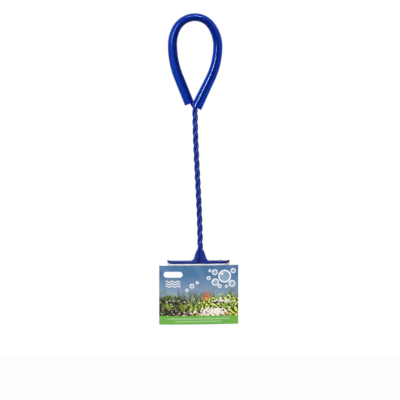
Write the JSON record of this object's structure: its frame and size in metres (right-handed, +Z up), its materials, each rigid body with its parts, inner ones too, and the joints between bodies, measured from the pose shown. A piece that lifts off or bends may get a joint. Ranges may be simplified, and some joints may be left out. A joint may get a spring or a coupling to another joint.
{
  "type": "aquarium fish net",
  "caption": "Small hand net for an aquarium: twisted coated-wire shank with a vinyl-covered grip loop, a wire frame, a white mesh bag and a folded pack card that slips off the bag.",
  "frame": {"origin": "the highest point inside the grip loop, where a hook carries the hanging net", "axes": "+Z up along the handle from the bag to the loop, +X to the right seen from the printed side, +Y to the back, where the frame reaches"},
  "size_m": [0.096, 0.0638, 0.381],
  "materials": {
    "grip_vinyl": "glossy extruded vinyl tube, deep blue",
    "wire_coat": "satin plastic wire coating, blue",
    "wire_steel": "drawn steel wire",
    "net_mesh": "white knitted nylon mesh",
    "sewing_thread": "white sewing thread",
    "printed_card": "coated card printed on its front, bare inside and on the back"
  },
  "bodies": {
    "net": {"grip_tube": "grip_vinyl", "loop_coating": "wire_coat", "loop_core": "wire_steel", "strand_a_coating": "wire_coat", "strand_a_core": "wire_steel", "strand_b_coating": "wire_coat", "strand_b_core": "wire_steel", "strand_c_coating": "wire_coat", "strand_c_core": "wire_steel", "throat_web": "wire_coat", "frame_coating": "wire_coat", "frame_core": "wire_steel", "net_hem": "net_mesh", "hem_stitching": "sewing_thread", "net_bag": "net_mesh", "side_seams": "sewing_thread"},
    "card": {"pack_card": "printed_card"}
  },
  "joints": [
    {"name": "card_slide", "type": "slide", "parent": "net", "child": "card", "axis": [0, 0, -1], "range_m": [0, 0.085]}
  ]
}
